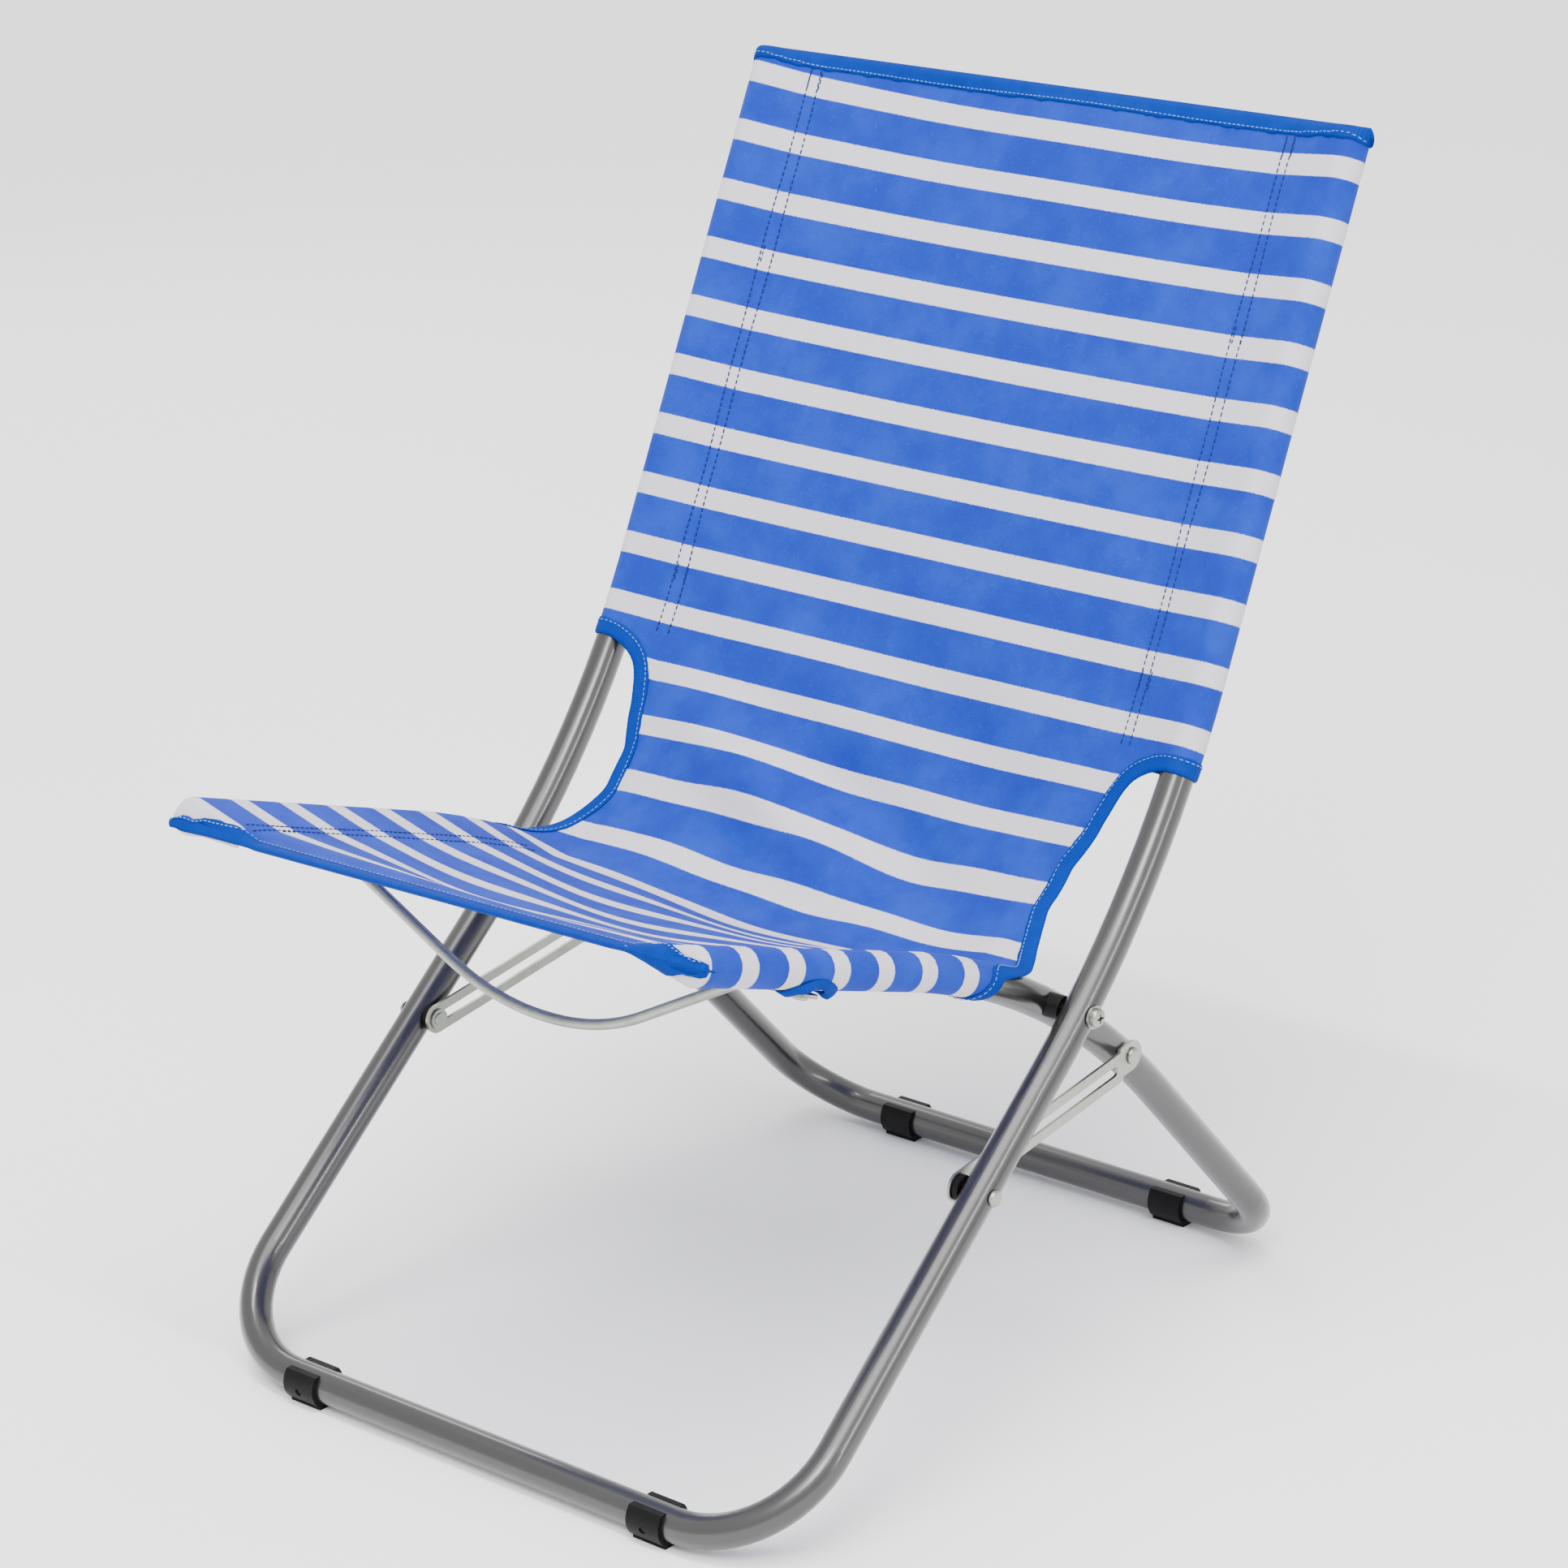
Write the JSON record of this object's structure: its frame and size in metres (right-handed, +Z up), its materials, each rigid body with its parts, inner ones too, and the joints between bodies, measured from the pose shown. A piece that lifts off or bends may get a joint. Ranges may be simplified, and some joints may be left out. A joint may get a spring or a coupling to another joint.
{
  "type": "folding beach chair",
  "caption": "Low folding beach chair: two crossed bent tube frames on side pivots, slotted stop links, a wire spreader and a striped fabric sling seat.",
  "frame": {"origin": "centre of the footprint's box at floor level", "axes": "+Z up, the sitter faces -Y, +X to the sitter's left, symmetric about X = 0"},
  "size_m": [0.5088, 0.6201, 0.7795],
  "materials": {
    "frame_paint": "silver grey metallic paint, satin",
    "zinc": "zinc plated steel",
    "black_plastic": "satin moulded plastic",
    "sling_fabric": "woven polyester, blue and white stripes"
  },
  "bodies": {
    "outer_frame": {"outer_frame": "frame_paint", "sling_back": "sling_fabric", "cap_back_left": "black_plastic", "cap_back_right": "black_plastic", "foot_front_left": "black_plastic", "foot_front_right": "black_plastic", "pivot_screw_left": "zinc", "pivot_screw_right": "zinc", "pivot_washer_left": "zinc", "pivot_washer_right": "zinc", "pivot_nut_left": "zinc", "pivot_nut_right": "zinc", "guide_pin_left": "zinc", "guide_pin_right": "zinc", "guide_bush_left": "black_plastic", "guide_bush_right": "black_plastic"},
    "inner_frame": {"inner_frame": "frame_paint", "sling_seat": "sling_fabric", "sling_crook": "sling_fabric", "spreader_wire": "zinc", "cap_seat_left": "black_plastic", "cap_seat_right": "black_plastic", "foot_rear_left": "black_plastic", "foot_rear_right": "black_plastic", "pivot_spacer_left": "black_plastic", "pivot_spacer_right": "black_plastic", "link_rivet_left": "zinc", "link_rivet_right": "zinc", "spreader_screw_left": "zinc", "spreader_screw_right": "zinc"},
    "link_left": {"link_left": "zinc"},
    "slider_left": {"slider_pin_left": "zinc", "slider_washer_left": "zinc"},
    "link_right": {"link_right": "zinc"},
    "slider_right": {"slider_pin_right": "zinc", "slider_washer_right": "zinc"}
  },
  "joints": [
    {"name": "fold", "type": "hinge", "parent": "outer_frame", "child": "inner_frame", "pos_m": [0, 0.01701, 0.26852], "axis": [-1, 0, 0], "range_deg": [0, 92], "deforming": ["sling_crook"]},
    {"name": "link_turn_left", "type": "hinge", "parent": "inner_frame", "child": "link_left", "pos_m": [-0.2183, 0.09863, 0.20899], "axis": [1, 0, 0], "range_deg": [0, 94.3]},
    {"name": "slot_slide_left", "type": "slide", "parent": "link_left", "child": "slider_left", "axis": [0, 0.9891, 0.1475], "range_m": [0, 0.1454]},
    {"name": "link_turn_right", "type": "hinge", "parent": "inner_frame", "child": "link_right", "pos_m": [0.2183, 0.09863, 0.20899], "axis": [1, 0, 0], "range_deg": [0, 94.3]},
    {"name": "slot_slide_right", "type": "slide", "parent": "link_right", "child": "slider_right", "axis": [0, 0.9891, 0.1475], "range_m": [0, 0.1454]}
  ],
  "couplings": [
    {"joint": "link_turn_left", "follows": "fold", "ratio": 1.0244},
    {"joint": "slot_slide_left", "follows": "fold", "m_per_rad": 0.090488},
    {"joint": "link_turn_right", "follows": "fold", "ratio": 1.0244},
    {"joint": "slot_slide_right", "follows": "fold", "m_per_rad": 0.090488}
  ]
}
